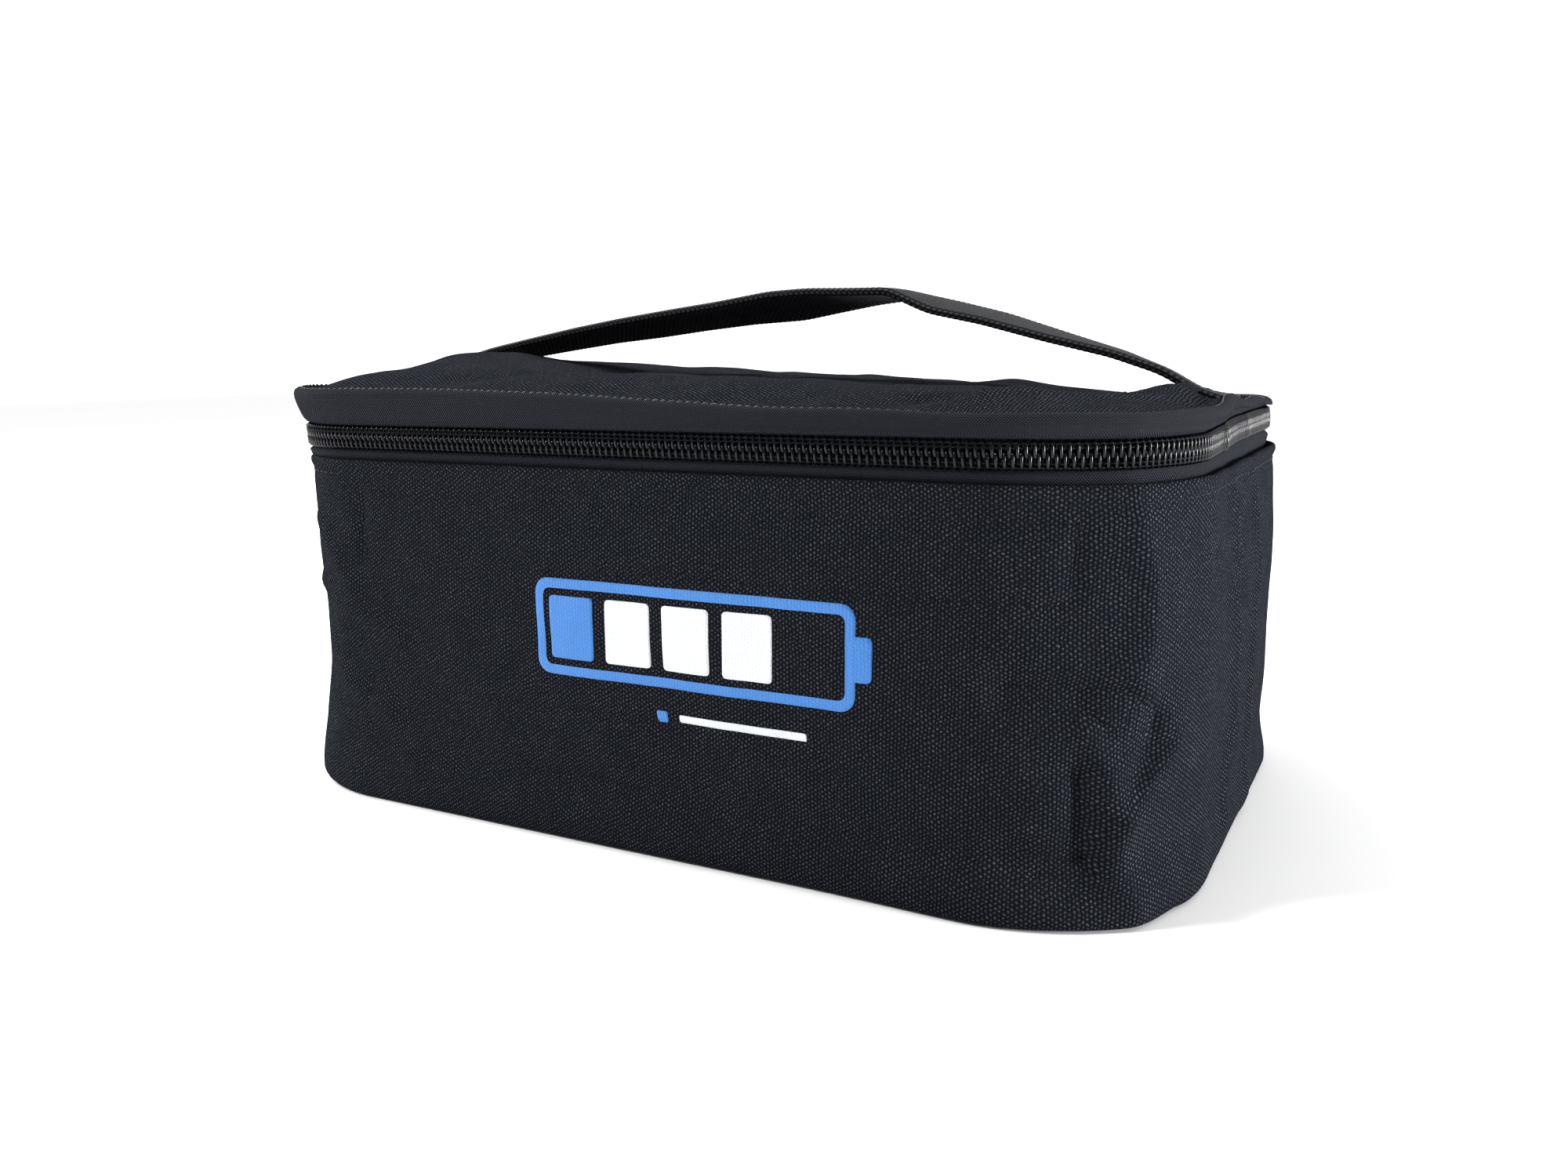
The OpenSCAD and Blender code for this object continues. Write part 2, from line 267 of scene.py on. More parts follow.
def chain_rise(s):
    """How far the chain rides up along the rear of the right side."""
    return 1.3 * smooth(s, 120, 170) * (1 - smooth(s, 205, 245))


def lid_sag(x, y):
    """The soft lid sinks from its left end towards its right end, and most at the rear."""
    return 0.5 - 3.7 * smooth(x, -75, 85) - 1.2 * smooth(x, -20, 60) * smooth(y, -20, 40)


def droop(s):
    """Height of the lid's edge along the outline, against its CAD level."""
    s = np.asarray(s, float)
    x, y, _, _ = outline(s, 0)
    out = lid_sag(x, y) + 0.2 * ripples(s, s * 0, 31, 7, 90, 28) * off_join(s)
    nub = np.exp(-((s - 152) / 9) ** 2)
    return out + 1.3 * nub + 0.8 * np.exp(-((s - 186) / 9) ** 2)


# Mesh building

def finish_mesh(name, verts, faces, uvs, material):
    """Object from points in mm, faces and one UV per face corner. Normals face outwards."""
    mesh = bpy.data.meshes.new(name)
    mesh.from_pydata((np.asarray(verts, float) * MM).tolist(), [], faces)
    layer = mesh.uv_layers.new(name="cloth")
    if uvs is not None:
        layer.data.foreach_set("uv", np.asarray(uvs, np.float32).ravel())
    work = bmesh.new()
    work.from_mesh(mesh)
    bmesh.ops.remove_doubles(work, verts=work.verts, dist=1e-7)
    bmesh.ops.recalc_face_normals(work, faces=work.faces)
    work.to_mesh(mesh)
    work.free()
    mesh.polygons.foreach_set("use_smooth", [True] * len(mesh.polygons))
    mesh.materials.append(material)
    piece = bpy.data.objects.new(name, mesh)
    bpy.context.scene.collection.objects.link(piece)
    return piece


def grid_parts(points, u, v, wrap_u, wrap_v):
    """Faces and UVs of a grid of points. u and v hold one more value where they wrap."""
    rows, cols = points.shape[:2]
    i, j = np.meshgrid(
        np.arange(rows if wrap_u else rows - 1), np.arange(cols if wrap_v else cols - 1),
        indexing="ij",
    )
    corners = [(i, j), (i + 1, j), (i + 1, j + 1), (i, j + 1)]
    faces = np.stack([(a % rows) * cols + b % cols for a, b in corners], -1).reshape(-1, 4)
    uvs = np.stack([np.stack([u[a], v[b]], -1) for a, b in corners], -2).reshape(-1, 2)
    return faces, uvs


def grid_piece(name, points, u, v, material, wrap_u=False, wrap_v=False, caps=False):
    """Object from a grid of points, with flat ends where caps is true."""
    rows, cols = points.shape[:2]
    faces, uvs = grid_parts(points, np.asarray(u, float), np.asarray(v, float), wrap_u, wrap_v)
    faces = faces.tolist()
    uvs = uvs.tolist()
    if caps:
        for row in (0, rows - 1):
            faces.append([row * cols + c for c in range(cols)])
            uvs += [[u[row], v[c]] for c in range(cols)]
    return finish_mesh(name, points.reshape(-1, 3), faces, uvs, material)


def ring_faces(points):
    """Faces of a grid whose rows are closed rings."""
    rows, cols = points.shape[:2]
    return grid_parts(points, np.zeros(rows + 1), np.zeros(cols + 1), False, True)[0]


def running(points):
    """Running length along a line of points."""
    return np.concatenate([[0], np.cumsum(np.hypot(*np.diff(points, axis=0).T))])


def lengths(profile):
    """Running length along a closed profile, with the closing value last."""
    return running(np.vstack([profile, profile[:1]]))


def place(s, depth, z, relief):
    """Point at (s, depth, z), pushed outwards by the relief there."""
    x, y, nx, ny = outline(s, depth)
    out = relief(s, z)
    return np.stack([x + nx * out, y + ny * out, z + 0 * s], -1)


def swept_points(profile, s, relief, rise=None):
    """Grid of points of a (depth, z) profile carried along the outline."""
    profile = np.asarray(profile, float)
    s_grid, depth = np.meshgrid(s, profile[:, 0], indexing="ij")
    z = np.meshgrid(s, profile[:, 1], indexing="ij")[1]
    points = place(s_grid, depth, z, relief)
    if rise is not None:
        points[..., 2] += rise(s_grid, z)
    return points


def swept(name, profile, material, relief, ends=None, step=1.6, rise=None):
    """Closed profile carried round the whole outline, or between two ends with flat caps."""
    whole = ends is None
    low, high = (-HALF_LAP, HALF_LAP) if whole else ends
    count = int(round((high - low) / step))
    s = np.linspace(low, high, count + 1)
    points = swept_points(profile, s[:-1] if whole else s, relief, rise)
    v = lengths(np.asarray(profile, float))
    return grid_piece(name, points, s, v, material, wrap_u=whole, wrap_v=True, caps=not whole)


def spread(start, end, step):
    """Points along a straight profile line, its start and all but its end."""
    count = max(1, int(round(math.dist(start, end) / step)))
    return [tuple(np.add(start, np.subtract(end, start) * k / count)) for k in range(count)]


def profile_of(*corners, step=1.5):
    """Closed profile through corners, with points added along its lines."""
    points = []
    for start, end in zip(corners, corners[1:] + corners[:1]):
        points += spread(start, end, step)
    return points


def rounded_end(centre, radius, first, last, count):
    """Arc of a profile, its angles in degrees, 0 towards the inside and 90 up."""
    angles = np.radians(np.linspace(first, last, count))
    return [(centre[0] + radius * math.cos(a), centre[1] + radius * math.sin(a)) for a in angles]


def stadium_rings(depth, count):
    """Rings of (x, y) from the outline at a depth in to the middle line, one row per ring."""
    x, y, _, _ = outline(RING_S, depth)
    reach = HALF_L - HALF_W
    middle = np.clip(x, -reach, reach)
    t = np.linspace(0, 1, count)[:, None]
    return x * (1 - t) + middle * t, y * (1 - t)


def edge_share(count):
    """How much of its edge's shift each ring of a sheet takes: 1 at the edge, near 0 inside."""
    return np.exp(-np.linspace(0, 1, count) * 9)[:, None]


def closed_sheet(name, under, top, material):
    """Closed sheet between its lower and upper rings. Its UVs are its places seen from above."""
    points = np.concatenate([under[::-1], top], 0)
    faces = ring_faces(points)
    flat = points.reshape(-1, 3)
    return finish_mesh(name, flat, faces.tolist(), flat[faces.reshape(-1)][:, :2], material)


def pad_piece(name, depth, low, high, material, count=26, shift=None):
    """Closed flat pad inside the outline: low and high give its faces' heights at (x, y).

    shift, where there is one, gives how far its edge stands out from the outline at s.
    """
    x, y = stadium_rings(depth, count)
    if shift is not None:
        _, _, nx, ny = outline(RING_S, depth)
        move = shift(RING_S)[None, :] * edge_share(count)
        x = x + nx * move
        y = y + ny * move
    top = np.stack([x, y, high(x, y)], -1)
    under = np.stack([x, y, low(x, y)], -1)
    return closed_sheet(name, under, top, material)


def tube_points(path, radius, across, sides):
    """Grid of points of a round tube along a path. across is a direction off the path."""
    path = np.asarray(path, float)
    along = np.gradient(path, axis=0)
    along /= np.linalg.norm(along, axis=1)[:, None]
    first = np.cross(along, across)
    first /= np.linalg.norm(first, axis=1)[:, None]
    second = np.cross(along, first)
    angles = np.linspace(0, 2 * math.pi, sides, endpoint=False)
    ring = np.cos(angles)[None, :, None] * first[:, None]
    ring = ring + np.sin(angles)[None, :, None] * second[:, None]
    return path[:, None] + ring * np.broadcast_to(radius, len(path))[:, None, None]


def stitches(name, starts, ends, lift, radius, material):
    """Row of short plump stitches, each from a start to an end, raised off the cloth."""
    rings = 7
    sides = 6
    verts = []
    faces = []
    t = np.linspace(0, 1, rings)
    swell = np.sin(np.pi * np.clip(t * 0.9 + 0.05, 0, 1)) ** 0.6
    for start, end, out in zip(starts, ends, lift):
        path = start + (end - start) * t[:, None] + out * (swell[:, None] - 0.4) * radius * 1.6
        points = tube_points(path, radius * swell, out, sides)
        base = len(verts)
        verts += points.reshape(-1, 3).tolist()
        faces += (ring_faces(points) + base).tolist()
        faces.append([base + k for k in range(sides)])
        faces.append([base + (rings - 1) * sides + k for k in range(sides)])
    return finish_mesh(name, verts, faces, None, material)


def stitch_line(points, pitch, length, depth, relief, tilt=0.0, rise=None):
    """Starts, ends and outward directions of stitches along a line of (s, z) points."""
    points = np.asarray(points, float)
    run = running(points)

    def line_at(where):
        return np.stack([np.interp(where, run, points[:, k]) for k in (0, 1)])

    middles = np.arange(pitch / 2, run[-1] - pitch / 4, pitch)
    s0, z0 = line_at(middles)
    step = line_at(middles + 0.1) - line_at(middles - 0.1)
    ds, dz = step / np.hypot(*step)
    made = []
    for way in (-0.5, 0.5):
        s = s0 + way * length * (ds - tilt * dz)
        z = z0 + way * length * (dz + tilt * ds)
        spot = place(s, np.full(len(s), depth), z, relief)
        if rise is not None:
            spot[:, 2] += rise(s, z)
        made.append(spot)
    _, _, nx, ny = outline(s0, 0)
    return made[0], made[1], np.stack([nx, ny, 0 * nx], -1)


# Materials

class Value:
    """A number in a node tree. Each sum or product of values makes one math node."""

    def __init__(self, tree, socket):
        self.tree = tree
        self.socket = socket

    def calc(self, operation, *others):
        """Math node on this value and others, which are values or plain numbers."""
        node = self.tree.nodes.new("ShaderNodeMath")
        node.operation = operation
        for slot, value in zip(node.inputs, (self, *others)):
            if isinstance(value, Value):
                self.tree.links.new(value.socket, slot)
            else:
                slot.default_value = value
        return Value(self.tree, node.outputs[0])

    def __add__(self, other):
        return self.calc("ADD", other)

    def __sub__(self, other):
        return self.calc("SUBTRACT", other)

    def __mul__(self, other):
        return self.calc("MULTIPLY", other)

    def __truediv__(self, other):
        return self.calc("DIVIDE", other)

    def __pow__(self, power):
        return self.calc("POWER", power)

    def times_plus(self, factor, added):
        """The value times a factor, plus what is added."""
        return self.calc("MULTIPLY_ADD", factor, added)

    def span(self, low, high):
        """A 0 to 1 value stretched to low to high."""
        return self.times_plus(high - low, low)

    def ramp(self, *stops):
        """Colour ramp through (position, colour) stops, as its colour socket."""
        node = self.tree.nodes.new("ShaderNodeValToRGB")
        elements = node.color_ramp.elements
        while len(elements) < len(stops):
            elements.new(0.5)
        for element, (position, colour) in zip(elements, stops):
            element.position = position
            element.color = (*colour, 1)
        self.tree.links.new(self.socket, node.inputs[0])
        return node.outputs[0]


def wave(value):
    """Cosine of pi times the value, as a rise and fall between 0 and 1."""
    return (value * math.pi).calc("COSINE").times_plus(0.5, 0.5)


def thread_round(value):
    """Round top of each thread: 0 at whole numbers and 1 between them."""
    return (value * math.pi).calc("SINE").calc("ABSOLUTE")


def plain_weave(u, v):
    """Heights of the warp and of the weft in a plain weave. u and v count threads."""
    warp = wave(v - 0.5 + u.calc("FLOOR")) * thread_round(u)
    weft = wave(u + 0.5 + v.calc("FLOOR")) * thread_round(v)
    return warp, weft


def split(tree, vector):
    """The first two parts of a vector."""
    node = tree.nodes.new("ShaderNodeSeparateXYZ")
    tree.links.new(vector, node.inputs[0])
    return Value(tree, node.outputs[0]), Value(tree, node.outputs[1])


def cloth_uv(tree):
    """The u, the v and both of the UV layer, in mm."""
    node = tree.nodes.new("ShaderNodeUVMap")
    node.uv_map = "cloth"
    return *split(tree, node.outputs[0]), node.outputs[0]


def object_space(tree):
    """Place on the piece, in metres."""
    return tree.nodes.new("ShaderNodeTexCoord").outputs["Object"]


def noise(tree, vector, scale, detail=3.0, roughness=0.55):
    """Noise texture's grey value."""
    node = tree.nodes.new("ShaderNodeTexNoise")
    for socket, value in (("Scale", scale), ("Detail", detail), ("Roughness", roughness)):
        node.inputs[socket].default_value = value
    tree.links.new(vector, node.inputs["Vector"])
    return Value(tree, node.outputs[0])


def shader_inputs(tree):
    """Sockets of a material's shader."""
    return tree.nodes["Principled BSDF"].inputs


def new_material(name, sheen=0.0, sheen_roughness=0.4, sheen_tint=(1, 1, 1), sockets=None):
    """Material and its node tree. Uniform values are set on the shader itself."""
    material = bpy.data.materials.new(name)
    material.use_nodes = True
    inputs = shader_inputs(material.node_tree)
    inputs["Sheen Weight"].default_value = sheen
    inputs["Sheen Roughness"].default_value = sheen_roughness
    inputs["Sheen Tint"].default_value = (*sheen_tint, 1)
    for socket, value in (sockets or {}).items():
        inputs[socket].default_value = value
    return material, material.node_tree


def wired(material, colour, roughness, height, distance):
    """The material with colour, roughness and a bump wired in, the bump's distance in mm."""
    tree = material.node_tree
    bump = tree.nodes.new("ShaderNodeBump")
    bump.inputs["Strength"].default_value = 1.0
    bump.inputs["Distance"].default_value = distance * MM
    tree.links.new(height.socket, bump.inputs["Height"])
    wires = {"Base Color": colour, "Roughness": roughness.socket, "Normal": bump.outputs[0]}
    for socket, value in wires.items():
        tree.links.new(value, shader_inputs(tree)[socket])
    return material


def oxford_weave(tree):
    """Warp height, whole height and UV of the bag's cloth, whose threads wander a little."""
    u, v, uv = cloth_uv(tree)
    shift = noise(tree, uv, 0.35, 2).span(-0.45, 0.45)
    warp, weft = plain_weave((u + shift) / WARP, (v - shift) / WEFT)
    return warp, warp.calc("MAXIMUM", weft * 0.55), uv


def woven_cloth():
    """Coarse black oxford cloth. Its warp dots are painted lighter, a painted highlight, and its weft
    and gaps painted darker, a painted shade.
    """
    material, tree = new_material(
        "oxford_cloth", sheen=0.005, sheen_roughness=0.45, sheen_tint=(0.84, 0.92, 1.0),
        sockets={"Specular IOR Level": 0.0},
    )
    warp, height, uv = oxford_weave(tree)
    fibre = noise(tree, uv, 2.2, 2)
    # mottle makes the painted highlights on the threads stronger in some patches and weaker in others.
    mottle = noise(tree, uv, 0.14, 3).span(0.75, 1.25)
    glint = warp ** 0.7 * mottle * fibre.span(-0.6, 2.2)
    # The colour follows the thread tops: painted highlight on the warp dots, painted shade on the weft
    # and in the gaps.
    colour = glint.calc("MAXIMUM", height * 0.75).ramp(
        (0.0, (0.0014, 0.0020, 0.0042)), (0.35, (0.0068, 0.0080, 0.0108)),
        (0.65, (0.022, 0.0235, 0.027)), (1.0, (0.060, 0.062, 0.068)),
    )
    rough = noise(tree, uv, 0.05, 3).span(0.42, 0.58)
    return wired(material, colour, rough, fibre.times_plus(0.2, height), 0.16)


def herringbone_tape():
    """Zip tape: a fine twill whose lines change direction along the tape."""
    material, tree = new_material(
        "zip_tape", sheen=0.012, sheen_roughness=0.4, sheen_tint=(0.9, 0.94, 1.0),
        sockets={"Specular IOR Level": 0.0},
    )
    u, v, uv = cloth_uv(tree)
    zigzag = v.calc("PINGPONG", 4.2) * 1.1
    height = thread_round((u + zigzag) / 0.56) * thread_round(v / 0.3).span(0.55, 1.0)
    # The colour follows the twill's height: the gaps between threads are painted darker, a painted
    # shade, and the thread tops lighter, a painted highlight.
    colour = height.ramp(
        (0.0, (0.0006, 0.0012, 0.0034)), (0.5, (0.006, 0.0074, 0.0110)), (1.0, (0.050, 0.052, 0.058)),
    )
    return wired(material, colour, noise(tree, uv, 0.08, 2).span(0.5, 0.62), height, 0.12)


def webbing():
    """Ribbed polypropylene webbing."""
    material, tree = new_material(
        "webbing", sheen=0.006, sheen_roughness=0.4, sheen_tint=(0.9, 0.93, 1.0),
        sockets={"Specular IOR Level": 0.04},
    )
    u, v, uv = cloth_uv(tree)
    along = v / 0.9
    across = u / RIB + along.calc("FLOOR") * 0.5
    fibre = noise(tree, uv, 6.0, 2)
    height = fibre.times_plus(0.3, thread_round(along) * thread_round(across))
    # The colour follows the ribs' height: the hollows between ribs are painted darker, a painted shade,
    # and the rib tops lighter, a painted highlight.
    colour = height.ramp(
        (0.0, (0.0007, 0.0010, 0.0022)), (0.6, (0.008, 0.0084, 0.0100)), (1.0, (0.036, 0.037, 0.040)),
    )
    return wired(material, colour, fibre.span(0.5, 0.66), height, 0.26)


def glass_lining():
    """Pale silvery glass cloth, a flat fine weave."""
    material, tree = new_material("glass_cloth", sheen=0.15)
    u, v, uv = cloth_uv(tree)
    warp, weft = plain_weave(u / 0.9, v / 0.9)
    height = warp.calc("MAXIMUM", weft)
    mottle = noise(tree, uv, 0.04, 4)
    # The tone mixes a random mottle with the weave's height, so the gaps between threads are also
    # painted darker, a painted shade.
    colour = mottle.times_plus(0.35, height * 0.65).ramp(
        (0.0, (0.20, 0.205, 0.205)), (0.5, (0.42, 0.43, 0.425)), (1.0, (0.60, 0.61, 0.60)),
    )
    return wired(material, colour, mottle.span(0.3, 0.5), height, 0.12)


def felt():
    """Grey fibrous padding."""
    material, tree = new_material("felt", sheen=0.4)
    where = object_space(tree)
    fibres = noise(tree, where, 900, 5, 0.7)
    lumps = noise(tree, where, 120, 3)
    colour = fibres.ramp((0.3, (0.12, 0.125, 0.13)), (0.7, (0.30, 0.31, 0.32)))
    return wired(material, colour, lumps.span(0.8, 0.95), fibres + lumps, 0.4)


def loop_pile():
    """Tape covered in small matted loops."""
    material, tree = new_material("loop_pile", sheen=0.5)
    where = object_space(tree)
    loops = tree.nodes.new("ShaderNodeTexVoronoi")
    loops.inputs["Scale"].default_value = 1400
    tree.links.new(where, loops.inputs["Vector"])
    height = Value(tree, loops.outputs["Distance"])
    colour = height.ramp((0.1, (0.05, 0.05, 0.055)), (0.7, (0.012, 0.012, 0.014)))
    return wired(material, colour, noise(tree, where, 200).span(0.75, 0.9), height, 0.3)


def thread(name, dark, light):
    """Twisted sewing thread."""
    material, tree = new_material(name, sockets={"Specular IOR Level": 0.08})
    strands = noise(tree, object_space(tree), 2500, 2)
    colour = strands.ramp((0.3, dark), (0.7, light))
    return wired(material, colour, strands.span(0.35, 0.55), strands, 0.1)


def nylon():
    """Shiny moulded black nylon of the coil."""
    material, tree = new_material("zip_nylon", sockets={"Specular IOR Level": 0.24})
    dust = noise(tree, object_space(tree), 700, 3)
    colour = dust.ramp((0.3, (0.0008, 0.0012, 0.0024)), (0.8, (0.0024, 0.0030, 0.0044)))
    return wired(material, colour, dust.span(0.12, 0.22), dust, 0.03)


def enamel():
    """Black painted metal, worn through in small scuffs."""
    material, tree = new_material(
        "black_enamel", sockets={"Specular IOR Level": 0.35, "Coat Weight": 0.1, "Coat Roughness": 0.15}
    )
    where = object_space(tree)
    grain = noise(tree, where, 1500, 4)
    scuffs = noise(tree, where, 260, 5, 0.7)
    colour = scuffs.ramp(
        (0.55, (0.010, 0.010, 0.012)), (0.66, (0.020, 0.020, 0.023)), (0.76, (0.14, 0.14, 0.15)),
    )
    bare = scuffs.ramp((0.66, (0, 0, 0)), (0.76, (1, 1, 1)))
    tree.links.new(bare, shader_inputs(tree)["Metallic"])
    return wired(material, colour, grain.span(0.25, 0.45), grain, 0.04)


def ink(name, colour):
    """Screen-printed ink that sinks into the weave. It is painted darker in the weave's gaps, a painted
    shade, and mottled at random.
    """
    material, tree = new_material(name, sheen=0.1)
    _, height, uv = oxford_weave(tree)
    dark = tuple(c * 0.45 for c in colour)
    middle = tuple(c * 0.85 for c in colour)
    mottle = noise(tree, uv, 1.2, 3).times_plus(0.3, height)
    # The low gaps of the weave come out darker, a painted shade; the noise in mottle varies the tone at
    # random.
    shades = mottle.ramp((0.05, dark), (0.3, middle), (0.8, colour))
    return wired(material, shades, height.span(0.62, 0.42), height, 0.14)


CLOTH = woven_cloth()
TAPE = herringbone_tape()
WEBBING = webbing()
LINING = glass_lining()
FELT = felt()
PILE = loop_pile()
SEAM_THREAD = thread("seam_thread", (0.010, 0.011, 0.014), (0.095, 0.10, 0.108))
HEM_THREAD = thread("hem_thread", (0.0015, 0.0018, 0.003), (0.010, 0.011, 0.014))
CORD = thread("zip_cord", (0.0015, 0.0020, 0.0036), (0.008, 0.009, 0.012))
NYLON = nylon()
ENAMEL = enamel()
BLUE = ink("ink_blue", (0.026, 0.175, 0.52))
WHITE = ink("ink_white", (0.70, 0.73, 0.77))


def settle(piece, body, slot, *nodes):
    """Rides the piece on its body and hides the CAD nodes it stands for. Its slot is not used."""
    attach(piece, body)
    if nodes:
        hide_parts(*nodes)
    return piece


# Wall of the bag

HEM_T = 1.5
BOTTOM_R = 2.0


def turned_under():
    """Lower end of a wall profile: the cloth turned under the bag, and the bend up into the wall."""
    flat = [(0.9, 4.5), (BOTTOM_R + 0.6, 0.9), (8, 0.9), (8, 0.25)]
    return flat + rounded_end((BOTTOM_R, BOTTOM_R + 0.1), BOTTOM_R, 270, 180, 9)


def outer_shell():
    """Cloth of the front, sides and corners: hemmed at the top, turned under at the base."""
    top = WALL_TOP + 0.2
    fold_r = HEM_T / 2
    outer = [(0, z) for z in np.arange(BOTTOM_R + 1, top - fold_r, 1.25)]
    hem = rounded_end((fold_r, top - fold_r), fold_r, 180, 0, 7)
    inside = [(HEM_T, z) for z in (top - 4, top - 8)] + [(0.8, z) for z in (60, 45, 30, 15, 6)]
    profile = turned_under() + outer + hem + inside
    ends = (-REAR_START - 1, REAR_START + 1)
    piece = swept("outer_shell", profile, CLOTH, sewn_relief, ends, step=1.25)
    settle(piece, "bag", "cloth_black", "outer_wall")


def back_cloth():
    """Back panel, which runs up past the hinge line and into the lid's rear seam."""
    def relief(s, z):
        low = wall_relief(s, z)
        high = rim_relief(s, z)
        t = smooth(z, WALL_TOP - 6, WALL_TOP + 4)
        crease = -0.9 * np.exp(-((z - HINGE_Z) / 1.6) ** 2)
        return low * (1 - t) + high * t + crease

    top = LID_EDGE_Z - 0.4
    outer = [(0, z) for z in np.arange(BOTTOM_R + 1, top - 1, 1.1)]
    turned = [(0.0, top - 0.5), (0.3, top + 0.4), (1.1, top + 0.7), (2.6, top + 0.5), (2.7, top - 0.2)]
    inside = [(0.8, z) for z in np.arange(top - 1, 6, -2.2)]
    profile = turned_under() + outer + turned + inside
    first = REAR_START - 0.2
    last = 2 * HALF_LAP - first
    s = np.linspace(first, last, int((last - first) / 1.3))
    wrapped = np.where(s > HALF_LAP, s - 2 * HALF_LAP, s)
    points = swept_points(
        profile, wrapped, relief, lambda s, z: droop(s) * smooth(z, HINGE_Z + 1, LID_EDGE_Z - 1)
    )
    piece = grid_piece(
        "back_cloth", points, s, lengths(np.asarray(profile)), CLOTH, wrap_v=True, caps=True
    )
    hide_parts("back_panel", "lid_hinge_flap")
    (HINGE_Z - 4) * MM
    (HINGE_Z + 4) * MM
    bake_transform(piece)


def inner_wall():
    """Padding, lining and bindings behind the outer cloth, all round the bag."""
    padding = profile_of((1.0, 5.2), (1.7, WALL_TOP - 6), (3.1, WALL_TOP - 5), (3.1, 5.2), step=2.5)
    pad = swept("wall_pad", padding, FELT, lambda s, z: sewn_relief(s, z) - 0.15, step=2.5)
    settle(
        pad, "bag", "padding_grey", "front_padding", "back_padding", "left_padding",
        "right_padding", "corner_padding",
    )

    def soft_relief(s, z):
        quilt = 0.35 * ripples(s, z, 41, 8, 40, 14)
        return wall_relief(s, z) * 0.8 + np.minimum(quilt, 0.3)

    lining = profile_of((3.9, 5.7), (3.9, WALL_TOP - 0.5), (4.4, WALL_TOP - 0.5), (4.4, 5.7), step=2)
    liner = swept("wall_liner", lining, LINING, soft_relief, step=2)
    settle(liner, "bag", "glass_cloth", "wall_lining")
    for name, node in (("base_binding", "base_seam_binding"), ("rim_binding", "top_edge_binding")):
        low, high = node_box(node)
        face = HALF_L - high[0]
        z0 = low[2]
        z1 = high[2]
        band = [
            (face, z0), (face, z1 - 0.3), (face + 0.25, z1), (face + 0.6, z1 - 0.3),
            (face + 0.8, z1 - 1.2), (face + 0.7, (z0 + z1) / 2), (face + 0.8, z0 + 0.4),
            (face + 0.4, z0),
        ]
        settle(swept(name, band, TAPE, soft_relief, step=2), "bag", "binding_black", node)


def loop_tapes():
    """Two loop tapes sewn to the inside of the front, for a divider's hooks."""
    low, high = node_box("front_loop_strips")
    tape_h = 14
    outer = HALF_W + low[1] + 0.1
    inner = outer + 1.2
    for name, z0 in (("loop_tape_lower", low[2]), ("loop_tape_upper", high[2] - tape_h)):
        z1 = z0 + tape_h
        profile = profile_of((outer, z0), (outer, z1), (inner, z1 - 0.2), (inner, z0 + 0.2))
        piece = swept(
            name, profile, PILE, lambda s, z: wall_relief(s, z) * 0.8, (low[0], high[0]), step=1.5
        )
        settle(piece, "bag", "loop_tape", "front_loop_strips")


def base_layers():
    """Outer cloth, board, padding and lining of the base."""
    def level(z, wavy=0.0):
        return lambda x, y: z + wavy * ripples(x, y, 50, 8, 60, 22) * (1 - (x / HALF_L) ** 4)

    cloth = pad_piece("base_cloth", 7.5, level(0.0), level(0.85), CLOTH)
    settle(cloth, "bag", "cloth_black", "base_panel")
    board = pad_piece("base_stiffener", 4.4, level(1.1), level(2.95), FELT, 14)
    settle(board, "bag", "board_grey", "base_board")
    pad = pad_piece("base_pad", 4.2, level(3.05), level(4.9), FELT, 14)
    settle(pad, "bag", "padding_grey", "base_padding")
    liner = pad_piece("base_liner", 4.6, level(4.95), level(5.5, 0.12), LINING)
    settle(liner, "bag", "glass_cloth", "base_lining")


# Zip

COIL_TURNS = 348
COIL_PITCH = 2 * REAR_START / COIL_TURNS
COIL_END = REAR_START - 0.4
WIRE_R = 0.34


def squarish(beat):
    """A wave between -1 and 1 with flatter tops."""
    return np.sign(beat) * np.abs(beat) ** 0.75


def coil_half(name, sign, body, node):
    """One half of the coil: a flattened helix whose heads lie between those of the other."""
    low, high = node_box(node)
    steps = 14
    turns = 2 * COIL_END / COIL_PITCH
    t = np.linspace(0, 2 * math.pi * turns, int(steps * turns) + 1)
    outer_z = high[2] - WIRE_R if sign > 0 else low[2] + WIRE_R
    head_z = HINGE_Z - sign * 0.45
    middle_z = (outer_z + head_z) / 2
    half_h = abs(outer_z - head_z) / 2
    depth = HALF_L - high[0] + 1.05
    half_d = 0.68
    z = middle_z + half_h * squarish(np.cos(t))
    d = depth - half_d * squarish(np.sin(t))
    lean = 0.75 * np.cos(t) / (2 * math.pi)
    s = -COIL_END + COIL_PITCH * (t / (2 * math.pi) + lean + (0.5 if sign < 0 else 0.0))
    path = place(s, d, z, rim_relief)
    path[:, 2] += chain_rise(s)
    _, _, nx, ny = outline(s, 0)
    across = np.stack([-ny, nx, 0 * nx], -1)
    head = smooth(-sign * (z - HINGE_Z), -0.9, 0.4)
    tip = np.abs(np.cos(t)) ** 8
    points = tube_points(path, WIRE_R - 0.06 + 0.08 * head + 0.07 * tip, across, 8)
    piece = grid_piece(name, points, s, np.linspace(0, 1, 9), NYLON, wrap_v=True, caps=True)
    settle(piece, body, "zip_coil", node)


